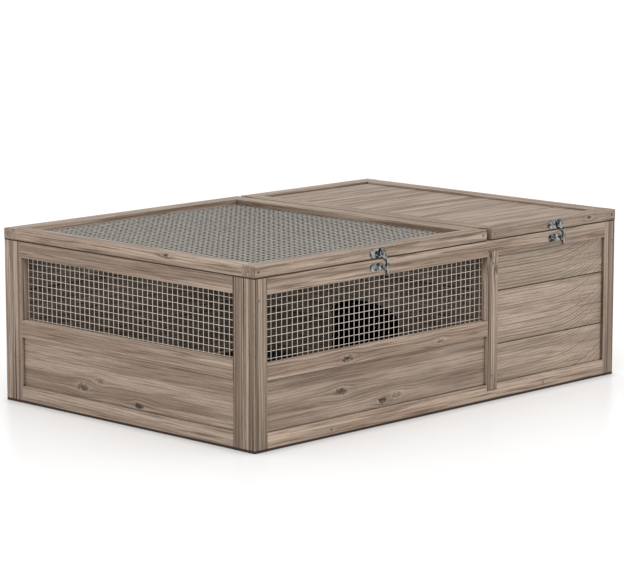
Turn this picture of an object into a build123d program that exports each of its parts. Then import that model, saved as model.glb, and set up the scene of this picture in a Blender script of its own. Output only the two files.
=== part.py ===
from build123d import *

import os
from math import ceil, radians, tan

os.makedirs("parts", exist_ok=True)

# A low wooden tortoise house: a meshed run on the left, a boarded hide on the right,
# a divider with an arched doorway between them, and a lid over each room.
# X runs to the right, Y from the front to the back, Z up from the ground.

# Box
length = 960.0
depth = 644.0
box_height = 297.0
run_length = 593.0  # left end to the middle post

# Frames of the four walls
front_thickness = 21.0
back_thickness = 17.0
end_thickness = 20.0
corner_post_width = 30.0
middle_post_width = 28.0
end_front_post_width = 31.0
end_back_post_width = 27.0
top_rail_height = 30.0
bottom_rail_height = 31.0
mid_rail_bottom = 121.0
front_mid_rail_height = 28.0
end_mid_rail_height = 31.0
arris = 1.2  # radius of the eased edges
cut_over = 1.0  # how far a cut runs past the face it opens

# Joints of the timber
tenon_length = 5.0
tenon_shoulder = 7.0
tenon_play = 0.1
lap_length = 11.0  # how far the middle post's ends lie over the rails
lap_thickness = 10.0
lap_play = 0.1

# Tongue and groove boards, held in grooves of the frames
board_thickness = 8.0
board_face = 98.1
lowest_seam = 102.4  # height of the lowest seam above the ground
narrowest_board = 20.0
wall_board_recess = 6.0
lid_board_recess = 5.0
seam_gap = 0.6
tongue_length = 4.0
tongue_thickness = 2.6
tongue_play = 0.15
tongue_end_play = 0.8
groove_depth = 5.0
groove_play = 0.1
groove_end_play = 0.5

# Welded mesh panels. The gaps of the nets are wider than the real 12.7 mm squares.
wire = 1.2
front_mesh_recess = 15.5
end_mesh_recess = 17.0
lid_mesh_recess = 11.0
mesh_lap = 8.0  # width of the rebate round a window
mesh_play = 0.5
wall_net_pitch = 15.5
lid_net_pitch = 33.0

# Divider and its doorway
batten_width = 20.0
batten_depth = 20.0
doorway_from_front = 226.0
doorway_width = 181.0
doorway_top = 147.0
doorway_rise = 34.0
divider_lift = 0.5

# Floor, cleats and trays
floor_lift = 2.0
floor_thickness = 4.0
floor_play = 1.0
cleat_height = 14.0
cleat_width = 20.0
cleat_play = 0.1
tray_height = 15.0
tray_wall = 1.5
tray_rim = 3.0
tray_corner = 12.0
tray_play = 2.0

# Lids
lids_apart = 10.5
right_lid_bearing = 21.0  # how far the right lid reaches over the middle post
lid_thickness = 19.9
lid_gap = 0.4
lid_rail_width = 30.0

# Countersunk screws of the frames and lids
screw_radius = 1.7
screw_head_radius = 3.2
screw_play = 0.05
screw_tip_play = 0.5
screw_bite = 13.0
lid_screw_bite = 20.0
sink_angle = 82.0
corner_screw_drop = 37.7
middle_screw_drop = 43.0
middle_screw_rise = 46.4
cleat_screw_from_left = 185.0
cleat_screw_from_right = 207.0
lid_screw_inset = 10.0

# Domed screws of the hinges and latches
dome_radius = 6.0
dome_height = 3.0
dome_shank_radius = 1.75
dome_shank_length = 14.0
dome_slot_width = 1.2
dome_slot_length = 6.0
dome_slot_depth = 1.4

# Butt hinges on the back
leaf_length = 45.0
leaf_height = 17.0
leaf_thickness = 1.2
leaf_corner = 2.0
knuckle_radius = 2.7
pin_radius = 1.45
pin_play = 0.05
pin_head_radius = 2.4
pin_head_thickness = 1.0
knuckle_play = 0.3
hinge_from_lid_end = 80.0
hinge_screw_spacing = 26.0
hinge_screw_offset = 9.5

# Hook latches on the front
latch_plate_thickness = 1.2
left_latch_from_left = 294.4
right_latch_from_left = 776.7
latch_plate_left = 13.8
latch_plate_height = 16.0
latch_plate_corner = 7.0
pivot_offset = 15.6
eye_radius = 7.5
hook_thickness = 2.0
hook_play = 0.3
hook_width = 5.0
curl_radius = 9.9
curl_right = 4.2  # middle of the hook's curl from its pivot
curl_below = 19.8
curl_start = 67.0
curl_turn = 137.0
tail_top_right = 12.6
tail_top_below = 24.5
tail_tip_right = 13.2
tail_tip_below = 39.4
tail_tip_width = 3.6
rivet_radius = 2.5
rivet_head_radius = 4.2
rivet_head_thickness = 1.5
rivet_play = 0.06
keeper_drop = 14.6
keeper_left = 13.4
keeper_right = 20.6
keeper_height = 14.0
keeper_corner = 6.5
stud_offset = 17.1
stud_radius = 2.2
stud_head_radius = 3.2

# Places worked out from the sizes
left = -length / 2
right = length / 2
latch_reach = latch_plate_thickness + 2 * hook_play + hook_thickness + rivet_head_thickness
hinge_reach = 2 * knuckle_radius
front = (latch_reach - depth - hinge_reach) / 2
back = front + depth
front_inner = front + front_thickness
back_inner = back - back_thickness
left_inner = left + end_thickness
right_inner = right - end_thickness
middle_left = left + run_length
middle_right = middle_left + middle_post_width
divider = (middle_left + middle_right) / 2
top_rail_bottom = box_height - top_rail_height

front_y = (front, front_inner)
back_y = (back_inner, back)
left_x = (left, left_inner)
right_x = (right_inner, right)
full_z = (0.0, box_height)
bottom_rail_z = (0.0, bottom_rail_height)
top_rail_z = (top_rail_bottom, box_height)
front_mid_rail_z = (mid_rail_bottom, mid_rail_bottom + front_mid_rail_height)
end_mid_rail_z = (mid_rail_bottom, mid_rail_bottom + end_mid_rail_height)

# Openings of the frames
frame_x = (left + corner_post_width, right - corner_post_width)
run_x = (frame_x[0], middle_left)
hide_x = (middle_right, frame_x[1])
end_y = (front_inner + end_front_post_width, back_inner - end_back_post_width)
lower_z = (bottom_rail_height, mid_rail_bottom)
wall_z = (bottom_rail_height, top_rail_bottom)
front_window_z = (front_mid_rail_z[1], top_rail_bottom)
end_window_z = (end_mid_rail_z[1], top_rail_bottom)

floor_top = floor_lift + floor_thickness
cleat_top = floor_top + cleat_height
lid_bottom = box_height + lid_gap
lid_top = lid_bottom + lid_thickness
lid_z = (lid_bottom, lid_top)
lid_middle = (lid_bottom + lid_top) / 2
board_bite = groove_depth - groove_end_play

# Planes that look at the front and at the back, with Z up in both
front_face = Plane(origin=(0, front, 0), x_dir=(1, 0, 0), z_dir=(0, -1, 0))
back_face = Plane(origin=(0, back, 0), x_dir=(-1, 0, 0), z_dir=(0, 1, 0))


def middle(span):
    return (span[0] + span[1]) / 2


def size(span):
    return span[1] - span[0]


def grown(span, amount):
    return (span[0] - amount, span[1] + amount)


def finish(part, name):
    """Names a piece and writes its file."""
    part.label = name
    export_step(part, f"parts/{name}.step")


def oblong(wide, high, mode=Mode.ADD):
    """A rectangle between two corners, in the open sketch."""
    with Locations((middle(wide), middle(high))):
        Rectangle(size(wide), size(high), mode=mode)


def block(x, y, z, mode=Mode.ADD):
    """A block between two corners, in the open part."""
    with Locations((middle(x), middle(y), middle(z))):
        Box(size(x), size(y), size(z), mode=mode)


def timber(x, y, z, run):
    """A bar with eased edges between two corners, its grain along the run axis."""
    plane, wide, high, along = {
        "x": (Plane.YZ, y, z, x),
        "y": (Plane.ZX, z, x, y),
        "z": (Plane.XY, x, y, z),
    }[run]
    with BuildSketch(plane.offset(along[0])) as section:
        with Locations((middle(wide), middle(high))):
            RectangleRounded(size(wide), size(high), arris)
    extrude(section.sketch, amount=size(along))


def tenons(x, y, z, run, thin, mode=Mode.ADD):
    """Stub tenons on both ends of a rail, or their mortises when they are taken away."""
    spans = {"x": x, "y": y, "z": z}
    wide = ({"x", "y", "z"} - {run, thin}).pop()
    play = tenon_play if mode == Mode.SUBTRACT else 0.0
    near, far = spans[run]
    spans[thin] = grown(spans[thin], play - size(spans[thin]) / 3)
    spans[wide] = grown(spans[wide], play - tenon_shoulder)
    for end in ((near - tenon_length - play, near), (far, far + tenon_length + play)):
        spans[run] = end
        block(spans["x"], spans["y"], spans["z"], mode)


def rail(x, y, z, run, thin):
    """A rail with a stub tenon on each end."""
    timber(x, y, z, run)
    tenons(x, y, z, run, thin)


def mortises(run, thin, *rails):
    """Takes the tenons of these rails out of the open part."""
    for x, y, z in rails:
        tenons(x, y, z, run, thin, Mode.SUBTRACT)


def seams(low, high, first):
    """The edges of boards laid from low to high, with the first seam at a given place."""
    count = max(0, ceil((high - narrowest_board - first) / board_face))
    return [low] + [first + step * board_face for step in range(count)] + [high]


def board_ends(thin, edges, across):
    """End sections of tongue and groove boards in the open sketch.

    thin is the span of their thickness and edges the places of their seams. across is
    True where the boards are stacked along the sketch's own x.
    """

    def piece(stacked, thick, mode=Mode.ADD):
        if across:
            oblong(stacked, thick, mode)
        else:
            oblong(thick, stacked, mode)

    inner_seams = edges[1:-1]
    tongue = (middle(thin) - tongue_thickness / 2, middle(thin) + tongue_thickness / 2)
    piece((edges[0], edges[-1]), thin)
    for seam in inner_seams:
        piece((seam - seam_gap / 2, seam + seam_gap / 2), thin, Mode.SUBTRACT)
        groove = (seam, seam + tongue_length + tongue_end_play)
        piece(groove, grown(tongue, tongue_play), Mode.SUBTRACT)
    for seam in inner_seams:
        piece((seam - seam_gap / 2, seam + tongue_length), tongue)


def net(plane, wide, high, pitch):
    """A flat panel of welded mesh over a window, laid on the plane."""
    columns = max(1, round(size(wide) / pitch))
    rows = max(1, round(size(high) / pitch))
    step_wide = size(wide) / columns
    step_high = size(high) / rows
    with BuildSketch(plane) as sheet:
        oblong(grown(wide, mesh_lap - mesh_play), grown(high, mesh_lap - mesh_play))
        with Locations((middle(wide), middle(high))):
            with GridLocations(step_wide, step_high, columns, rows):
                Rectangle(step_wide - wire, step_high - wire, mode=Mode.SUBTRACT)
    extrude(sheet.sketch, amount=wire)


# Board spans, measured from the outer faces
front_board_y = (front + wall_board_recess, front + wall_board_recess + board_thickness)
back_board_y = (back - wall_board_recess - board_thickness, back - wall_board_recess)
left_board_x = (left + wall_board_recess, left + wall_board_recess + board_thickness)
right_board_x = (right - wall_board_recess - board_thickness, right - wall_board_recess)
divider_board_x = (divider - board_thickness / 2, divider + board_thickness / 2)
lid_board_z = (lid_top - lid_board_recess - board_thickness, lid_top - lid_board_recess)
wall_seams = seams(wall_z[0] - board_bite, wall_z[1] + board_bite, lowest_seam)


def groove(x, y, z, thin):
    """Takes the groove round a board panel out of the open part."""
    spans = {"x": x, "y": y, "z": z}
    for axis in spans:
        spans[axis] = grown(spans[axis], groove_play if axis == thin else groove_depth)
    block(spans["x"], spans["y"], spans["z"], Mode.SUBTRACT)


def front_lower_groove():
    groove(run_x, front_board_y, lower_z, "y")


def front_hide_groove():
    groove(hide_x, front_board_y, wall_z, "y")


def back_run_groove():
    groove(run_x, back_board_y, wall_z, "y")


def back_hide_groove():
    groove(hide_x, back_board_y, wall_z, "y")


def left_groove():
    groove(left_board_x, end_y, lower_z, "x")


def right_groove():
    groove(right_board_x, end_y, wall_z, "x")


def front_rebate():
    """The rebate inside the front frame that takes the mesh panel."""
    y = (front + front_mesh_recess, front_inner + cut_over)
    block(grown(run_x, mesh_lap), y, grown(front_window_z, mesh_lap), Mode.SUBTRACT)


def left_rebate():
    """The rebate inside the left end that takes the mesh panel."""
    x = (left + end_mesh_recess, left_inner + cut_over)
    block(x, grown(end_y, mesh_lap), grown(end_window_z, mesh_lap), Mode.SUBTRACT)


# Screw places on the front and on the back, as (x, z) of each face's own plane
divider_screws = [box_height - middle_screw_drop, middle_screw_rise]
corner_screw_z = box_height - corner_screw_drop
front_screw_places = [
    (middle(left_x), corner_screw_z),
    (middle(right_x), corner_screw_z),
    (divider, divider_screws[0]),
    (divider, divider_screws[1]),
    (left + cleat_screw_from_left, floor_top + cleat_height / 2),
    (right - cleat_screw_from_right, floor_top + cleat_height / 2),
]
back_screw_places = [(-x, z) for x, z in front_screw_places]


def lid_ends(x, face):
    """The two screw places along a lid's front or back rail."""
    turn = -1 if face is back_face else 1
    ends = grown(x, -lid_screw_inset)
    return [(turn * end, lid_middle) for end in ends]


def sink(face, places, depth_of_hole):
    """Countersunk screw holes in the open part, drilled from a face."""
    with Locations(face):
        with Locations(*places):
            CounterSinkHole(
                screw_radius + screw_play,
                screw_head_radius + screw_play,
                depth_of_hole + screw_tip_play,
                sink_angle,
            )


def sink_front():
    sink(front_face, front_screw_places, front_thickness + screw_bite)


def sink_back():
    sink(back_face, back_screw_places, back_thickness + screw_bite)


def sink_lid(x):
    for face in (front_face, back_face):
        sink(face, lid_ends(x, face), lid_rail_width + lid_screw_bite)


def pilot(face, places):
    """Holes for the shanks of domed screws in the open part."""
    with Locations(face):
        with Locations(*places):
            Hole(dome_shank_radius + screw_play, depth=dome_shank_length + screw_tip_play)


# Front frame
front_top_rail_at = (frame_x, front_y, top_rail_z)
front_bottom_rail_at = (frame_x, front_y, bottom_rail_z)
front_mid_rail_at = (run_x, front_y, front_mid_rail_z)
front_rails = (front_top_rail_at, front_bottom_rail_at, front_mid_rail_at)
front_posts = {
    "front_left_post": (left, frame_x[0]),
    "front_right_post": (frame_x[1], right),
}
for name, x in front_posts.items():
    with BuildPart() as post:
        timber(x, front_y, full_z, "z")
        mortises("x", "y", *front_rails)
        front_lower_groove()
        front_hide_groove()
        front_rebate()
        sink_front()
    finish(post.part, name)

middle_x = (middle_left, middle_right)
lap_y = (front, front + lap_thickness)
lap_z = (bottom_rail_height - lap_length, top_rail_bottom + lap_length)


def front_laps():
    """The notches in the front rails under the middle post's lapped ends."""
    y = (front - cut_over, front + lap_thickness + lap_play)
    block(grown(middle_x, lap_play), y, grown(lap_z, lap_play), Mode.SUBTRACT)


with BuildPart() as front_middle_post:
    timber(middle_x, front_y, wall_z, "z")
    block(middle_x, lap_y, lap_z)
    mortises("x", "y", front_mid_rail_at)
    front_lower_groove()
    front_hide_groove()
    front_rebate()
    sink_front()
finish(front_middle_post.part, "front_middle_post")

with BuildPart() as front_top_rail:
    rail(*front_top_rail_at, "x", "y")
    front_laps()
    front_hide_groove()
    front_rebate()
    keeper_places = [
        (left + left_latch_from_left, box_height - keeper_drop),
        (left + right_latch_from_left, box_height - keeper_drop),
    ]
    pilot(front_face, keeper_places)
finish(front_top_rail.part, "front_top_rail")

with BuildPart() as front_bottom_rail:
    rail(*front_bottom_rail_at, "x", "y")
    front_laps()
    front_lower_groove()
    front_hide_groove()
    sink_front()
finish(front_bottom_rail.part, "front_bottom_rail")

with BuildPart() as front_mid_rail:
    rail(*front_mid_rail_at, "x", "y")
    front_lower_groove()
    front_rebate()
finish(front_mid_rail.part, "front_mid_rail")

with BuildPart() as front_lower_board:
    x = grown(run_x, board_bite)
    with BuildSketch(Plane.YZ.offset(x[0])):
        oblong(front_board_y, grown(lower_z, board_bite))
    extrude(amount=size(x))
finish(front_lower_board.part, "front_lower_board")

with BuildPart() as front_hide_boards:
    x = grown(hide_x, board_bite)
    with BuildSketch(Plane.YZ.offset(x[0])):
        board_ends(front_board_y, wall_seams, across=False)
    extrude(amount=size(x))
finish(front_hide_boards.part, "front_hide_boards")

with BuildPart() as front_mesh:
    mesh_plane = Plane.XZ.offset(-(front + front_mesh_recess + wire))
    net(mesh_plane, run_x, front_window_z, wall_net_pitch)
finish(front_mesh.part, "front_mesh")

# Left and right ends, between the front and back frames
end_posts_y = {
    "front": (front_inner, end_y[0]),
    "back": (end_y[1], back_inner),
}
left_top_rail_at = (left_x, end_y, top_rail_z)
left_mid_rail_at = (left_x, end_y, end_mid_rail_z)
left_bottom_rail_at = (left_x, end_y, bottom_rail_z)
right_top_rail_at = (right_x, end_y, top_rail_z)
right_bottom_rail_at = (right_x, end_y, bottom_rail_z)
for place, y in end_posts_y.items():
    with BuildPart() as post:
        timber(left_x, y, full_z, "z")
        mortises("y", "x", left_top_rail_at, left_mid_rail_at, left_bottom_rail_at)
        left_groove()
        left_rebate()
        sink_front()
        sink_back()
    finish(post.part, f"left_{place}_post")

    with BuildPart() as post:
        timber(right_x, y, full_z, "z")
        mortises("y", "x", right_top_rail_at, right_bottom_rail_at)
        right_groove()
        sink_front()
        sink_back()
    finish(post.part, f"right_{place}_post")

left_rails = {
    "left_top_rail": left_top_rail_at,
    "left_mid_rail": left_mid_rail_at,
    "left_bottom_rail": left_bottom_rail_at,
}
for name, place in left_rails.items():
    with BuildPart() as bar:
        rail(*place, "y", "x")
        left_groove()
        left_rebate()
    finish(bar.part, name)

right_rails = {
    "right_top_rail": right_top_rail_at,
    "right_bottom_rail": right_bottom_rail_at,
}
for name, place in right_rails.items():
    with BuildPart() as bar:
        rail(*place, "y", "x")
        right_groove()
    finish(bar.part, name)

with BuildPart() as left_lower_board:
    y = grown(end_y, board_bite)
    with BuildSketch(Plane.ZX.offset(y[0])):
        oblong(grown(lower_z, board_bite), left_board_x)
    extrude(amount=size(y))
finish(left_lower_board.part, "left_lower_board")

with BuildPart() as left_mesh:
    mesh_plane = Plane.YZ.offset(left + end_mesh_recess)
    net(mesh_plane, end_y, end_window_z, wall_net_pitch)
finish(left_mesh.part, "left_mesh")

with BuildPart() as right_end_boards:
    y = grown(end_y, board_bite)
    with BuildSketch(Plane.ZX.offset(y[0])):
        board_ends(right_board_x, wall_seams, across=True)
    extrude(amount=size(y))
finish(right_end_boards.part, "right_end_boards")

# Back frame
back_top_rail_at = (frame_x, back_y, top_rail_z)
back_bottom_rail_at = (frame_x, back_y, bottom_rail_z)
back_posts = {
    "back_left_post": (left, frame_x[0]),
    "back_right_post": (frame_x[1], right),
}
for name, x in back_posts.items():
    with BuildPart() as post:
        timber(x, back_y, full_z, "z")
        mortises("x", "y", back_top_rail_at, back_bottom_rail_at)
        back_run_groove()
        back_hide_groove()
        sink_back()
    finish(post.part, name)

with BuildPart() as back_middle_post:
    timber(middle_x, back_y, wall_z, "z")
    tenons(middle_x, back_y, wall_z, "z", "y")
    back_run_groove()
    back_hide_groove()
    sink_back()
finish(back_middle_post.part, "back_middle_post")

# Hinges stand over the joint between the lids and the back top rail
right_lid_x = (middle_right - right_lid_bearing, right)
left_lid_x = (left, right_lid_x[0] - lids_apart)
hinge_y = back + knuckle_radius
hinge_z = box_height + lid_gap / 2


def hinge_places(lid_x):
    return [lid_x[0] + hinge_from_lid_end, lid_x[1] - hinge_from_lid_end]


def leaf_screws(lid_x, side):
    """Screw places of one lid's leaves on the back plane, above or below the pin."""
    places = []
    for x in hinge_places(lid_x):
        for step in (-0.5, 0.5):
            spot = -(x + step * hinge_screw_spacing)
            places.append((spot, hinge_z + side * hinge_screw_offset))
    return places


box_leaf_screws = leaf_screws(left_lid_x, -1) + leaf_screws(right_lid_x, -1)

with BuildPart() as back_top_rail:
    rail(*back_top_rail_at, "x", "y")
    mortises("z", "y", (middle_x, back_y, wall_z))
    back_run_groove()
    back_hide_groove()
    pilot(back_face, box_leaf_screws)
finish(back_top_rail.part, "back_top_rail")

with BuildPart() as back_bottom_rail:
    rail(*back_bottom_rail_at, "x", "y")
    mortises("z", "y", (middle_x, back_y, wall_z))
    back_run_groove()
    back_hide_groove()
    sink_back()
finish(back_bottom_rail.part, "back_bottom_rail")

for name, opening in {"back_run_boards": run_x, "back_hide_boards": hide_x}.items():
    with BuildPart() as boards:
        x = grown(opening, board_bite)
        with BuildSketch(Plane.YZ.offset(x[0])):
            board_ends(back_board_y, wall_seams, across=False)
        extrude(amount=size(x))
    finish(boards.part, name)

# Floor: four cleats screwed inside the bottom rails, with the floor panel below them
room_x = (left_inner, right_inner)
room_y = (front_inner, back_inner)
cleat_z = (floor_top, cleat_top)
cleat_front_y = (front_inner, front_inner + cleat_width)
cleat_back_y = (back_inner - cleat_width, back_inner)
between_cleats_y = (cleat_front_y[1], cleat_back_y[0])
with BuildPart() as floor_cleats:
    timber(room_x, cleat_front_y, cleat_z, "x")
    timber(room_x, cleat_back_y, cleat_z, "x")
    sink_front()
    sink_back()
    end_cleat_y = grown(between_cleats_y, -cleat_play)
    timber((left_inner, left_inner + cleat_width), end_cleat_y, cleat_z, "y")
    timber((right_inner - cleat_width, right_inner), end_cleat_y, cleat_z, "y")
finish(floor_cleats.part, "floor_cleats")

with BuildPart() as floor_panel:
    with BuildSketch(Plane.XY.offset(floor_lift)):
        oblong(grown(room_x, -floor_play), grown(room_y, -floor_play))
    extrude(amount=floor_thickness)
finish(floor_panel.part, "floor_panel")

# Divider between the run and the hide
batten_x = (divider - batten_width / 2, divider + batten_width / 2)
batten_z = (cleat_top, box_height)
divider_y = (front_inner + batten_depth, back_inner - batten_depth)


def divider_groove():
    groove(divider_board_x, divider_y, batten_z, "x")


with BuildPart() as divider_battens:
    timber(batten_x, (front_inner, divider_y[0]), batten_z, "z")
    timber(batten_x, (divider_y[1], back_inner), batten_z, "z")
    divider_groove()
    sink_front()
    sink_back()
finish(divider_battens.part, "divider_battens")

doorway_middle = front + doorway_from_front + doorway_width / 2
doorway_springing = doorway_top - doorway_rise
with BuildPart() as divider_boards:
    y = grown(divider_y, board_bite)
    with BuildSketch(Plane.ZX.offset(y[0])):
        divider_seams = seams(cleat_top + divider_lift, box_height, lowest_seam)
        board_ends(divider_board_x, divider_seams, across=True)
    extrude(amount=size(y))
    with BuildSketch(Plane.YZ.offset(divider_board_x[0])):
        with Locations((doorway_middle, doorway_springing)):
            Ellipse(doorway_width / 2, doorway_rise)
            Rectangle(doorway_width, doorway_springing, align=(Align.CENTER, Align.MAX))
    extrude(amount=board_thickness, mode=Mode.SUBTRACT)
finish(divider_boards.part, "divider_boards")

# A shallow tray stands on the floor of each room
tray_y = grown(between_cleats_y, -tray_play)
tray_rooms = {
    "run_tray": (left_inner + cleat_width, divider_board_x[0]),
    "hide_tray": (divider_board_x[1], right_inner - cleat_width),
}
for name, room in tray_rooms.items():
    outer_x = grown(room, -tray_play)
    inner_x = grown(outer_x, -tray_rim)
    inner_y = grown(tray_y, -tray_rim)
    with BuildPart() as tray:
        with BuildSketch(Plane.XY.offset(floor_top)):
            with Locations((middle(outer_x), middle(tray_y))):
                RectangleRounded(size(inner_x), size(inner_y), tray_corner)
        extrude(amount=tray_height)
        with BuildSketch(Plane.XY.offset(floor_top + tray_height - tray_wall)):
            with Locations((middle(outer_x), middle(tray_y))):
                RectangleRounded(size(outer_x), size(tray_y), tray_corner + tray_rim)
        extrude(amount=tray_wall)
        with BuildSketch(Plane.XY.offset(floor_top + tray_wall)):
            with Locations((middle(outer_x), middle(tray_y))):
                RectangleRounded(
                    size(inner_x) - 2 * tray_wall,
                    size(inner_y) - 2 * tray_wall,
                    tray_corner - tray_wall,
                )
        extrude(amount=tray_height, mode=Mode.SUBTRACT)
    finish(tray.part, name)

# Lids: front and back rails run the full length, side rails between them
latch_x = {
    "left": left + left_latch_from_left,
    "right": left + right_latch_from_left,
}
lid_front_y = (front, front + lid_rail_width)
lid_back_y = (back - lid_rail_width, back)
lid_side_y = (lid_front_y[1], lid_back_y[0])
left_lid_opening = grown(left_lid_x, -lid_rail_width)
right_lid_opening = grown(right_lid_x, -lid_rail_width)


def lid_rebate():
    """The rebate below the left lid's frame that takes the mesh panel."""
    z = (lid_bottom - cut_over, lid_top - lid_mesh_recess)
    block(grown(left_lid_opening, mesh_lap), grown(lid_side_y, mesh_lap), z, Mode.SUBTRACT)


def lid_groove():
    groove(right_lid_opening, lid_side_y, lid_board_z, "z")


def lid_frame(side, lid_x, panel_cut):
    """The four rails of a lid. panel_cut takes the place of its panel out of each."""
    side_rails = {
        "left": ((lid_x[0], lid_x[0] + lid_rail_width), lid_side_y, lid_z),
        "right": ((lid_x[1] - lid_rail_width, lid_x[1]), lid_side_y, lid_z),
    }
    long_rails = {
        "front": (lid_front_y, front_face, [(latch_x[side], lid_middle)]),
        "back": (lid_back_y, back_face, leaf_screws(lid_x, 1)),
    }
    for place, (y, face, screw_places) in long_rails.items():
        with BuildPart() as bar:
            timber(lid_x, y, lid_z, "x")
            mortises("y", "z", *side_rails.values())
            panel_cut()
            sink_lid(lid_x)
            pilot(face, screw_places)
        finish(bar.part, f"{side}_lid_{place}_rail")

    for place, spans in side_rails.items():
        with BuildPart() as bar:
            rail(*spans, "y", "z")
            panel_cut()
            sink_lid(lid_x)
        finish(bar.part, f"{side}_lid_{place}_rail")


lid_frame("left", left_lid_x, lid_rebate)
lid_frame("right", right_lid_x, lid_groove)

with BuildPart() as left_lid_mesh:
    mesh_plane = Plane.XY.offset(lid_top - lid_mesh_recess - wire)
    net(mesh_plane, left_lid_opening, lid_side_y, lid_net_pitch)
finish(left_lid_mesh.part, "left_lid_mesh")

with BuildPart() as right_lid_boards:
    x = grown(right_lid_opening, board_bite)
    y = grown(lid_side_y, board_bite)
    with BuildSketch(Plane.YZ.offset(x[0])):
        board_ends(lid_board_z, seams(*y, y[0] + board_face), across=True)
    extrude(amount=size(x))
finish(right_lid_boards.part, "right_lid_boards")


# Screws, each made once with its head upwards and then set in its places
def countersunk_screw(long):
    """A countersunk screw whose head is flush with its own z = 0."""
    head = (screw_head_radius - screw_radius) / tan(radians(sink_angle / 2))
    with BuildPart() as screw:
        with BuildSketch(Plane.XZ):
            with BuildLine():
                Polyline(
                    (0, 0),
                    (screw_head_radius, 0),
                    (screw_radius, -head),
                    (screw_radius, -long),
                    (0, -long),
                    close=True,
                )
            make_face()
        revolve(axis=Axis.Z)
    return screw.part


with BuildPart() as domed_screw:
    with BuildSketch(Plane.XZ):
        with BuildLine():
            TangentArc((0, dome_height), (dome_radius, 0), tangent=(1, 0))
            Polyline(
                (dome_radius, 0),
                (dome_shank_radius, 0),
                (dome_shank_radius, -dome_shank_length),
                (0, -dome_shank_length),
                (0, dome_height),
            )
        make_face()
    revolve(axis=Axis.Z)
    slot_z = (dome_height - dome_slot_depth, dome_height)
    slot_long = (-dome_slot_length / 2, dome_slot_length / 2)
    slot_wide = (-dome_slot_width / 2, dome_slot_width / 2)
    block(slot_long, slot_wide, slot_z, Mode.SUBTRACT)
    block(slot_wide, slot_long, slot_z, Mode.SUBTRACT)


def set_screws(screw, face, places):
    """Adds a screw at each of these places on a face to the open part."""
    with Locations(face):
        with Locations(*places):
            add(screw)


with BuildPart() as frame_screws:
    set_screws(countersunk_screw(front_thickness + screw_bite), front_face, front_screw_places)
    set_screws(countersunk_screw(back_thickness + screw_bite), back_face, back_screw_places)
finish(frame_screws.part, "frame_screws")

latch_face = front_face.offset(latch_plate_thickness)
leaf_face = back_face.offset(leaf_thickness)
with BuildPart() as hardware_screws:
    set_screws(domed_screw.part, latch_face, keeper_places)
    set_screws(domed_screw.part, leaf_face, box_leaf_screws)
finish(hardware_screws.part, "hardware_screws")

lid_screw = countersunk_screw(lid_rail_width + lid_screw_bite)
for side, lid_x in {"left": left_lid_x, "right": right_lid_x}.items():
    with BuildPart() as lid_screws:
        for face in (front_face, back_face):
            set_screws(lid_screw, face, lid_ends(lid_x, face))
        set_screws(domed_screw.part, latch_face, [(latch_x[side], lid_middle)])
        set_screws(domed_screw.part, leaf_face, leaf_screws(lid_x, 1))
    finish(lid_screws.part, f"{side}_lid_screws")


# Hinges. The fixed leaf carries the two outer knuckles and the lid's leaf the middle one.
half_leaf = leaf_length / 2
half_knuckle = leaf_length / 6


def leaf_plate(x, side):
    """The flat of one leaf at x, above the pin where side is 1 and below it where it is -1."""
    with BuildSketch(back_face) as plate:
        edges = sorted((hinge_z, hinge_z + side * leaf_height))
        oblong((-x - half_leaf, -x + half_leaf), edges)
        corners = plate.vertices().group_by(Axis.Y)[-1 if side > 0 else 0]
        fillet(corners, leaf_corner)
    extrude(plate.sketch, amount=leaf_thickness)


def cross_tube(x, radius, mode=Mode.ADD):
    """A round bar along the hinge line over the span x."""
    with BuildSketch(Plane.YZ.offset(x[0])) as ring:
        with Locations((hinge_y, hinge_z)):
            Circle(radius)
    extrude(ring.sketch, amount=size(x), mode=mode)


def hinge_leaf(x, side, knuckles, gaps):
    """A leaf with its own knuckles, cut back where the other leaf's knuckles turn."""
    leaf_plate(x, side)
    reach = knuckle_radius + knuckle_play
    z = sorted((hinge_z - side * knuckle_radius, hinge_z + side * reach))
    for gap in gaps:
        block(gap, (back - cut_over, back + hinge_reach), z, Mode.SUBTRACT)
    for span in knuckles:
        cross_tube(span, knuckle_radius)
    cross_tube((x - leaf_length, x + leaf_length), pin_radius + pin_play, Mode.SUBTRACT)


all_hinges = hinge_places(left_lid_x) + hinge_places(right_lid_x)
with BuildPart() as hinge_base_leaves:
    for x in all_hinges:
        inner = (x - half_knuckle, x + half_knuckle)
        outers = [(x - half_leaf, inner[0]), (inner[1], x + half_leaf)]
        hinge_leaf(x, -1, outers, [inner])
    pilot(leaf_face, box_leaf_screws)
finish(hinge_base_leaves.part, "hinge_base_leaves")

for side, lid_x in {"left": left_lid_x, "right": right_lid_x}.items():
    with BuildPart() as lid_leaves:
        for x in hinge_places(lid_x):
            inner = (x - half_knuckle + knuckle_play, x + half_knuckle - knuckle_play)
            past_ends = grown((x - half_leaf, x + half_leaf), cut_over)
            outers = [(past_ends[0], inner[0]), (inner[1], past_ends[1])]
            hinge_leaf(x, 1, [inner], outers)
        pilot(leaf_face, leaf_screws(lid_x, 1))
    finish(lid_leaves.part, f"{side}_lid_hinge_leaves")

with BuildPart() as hinge_pins:
    for x in all_hinges:
        cross_tube((x - half_leaf - pin_head_thickness, x + half_leaf + pin_head_thickness), pin_radius)
        cross_tube((x - half_leaf - pin_head_thickness, x - half_leaf), pin_head_radius)
        cross_tube((x + half_leaf, x + half_leaf + pin_head_thickness), pin_head_radius)
finish(hinge_pins.part, "hinge_pins")

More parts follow.
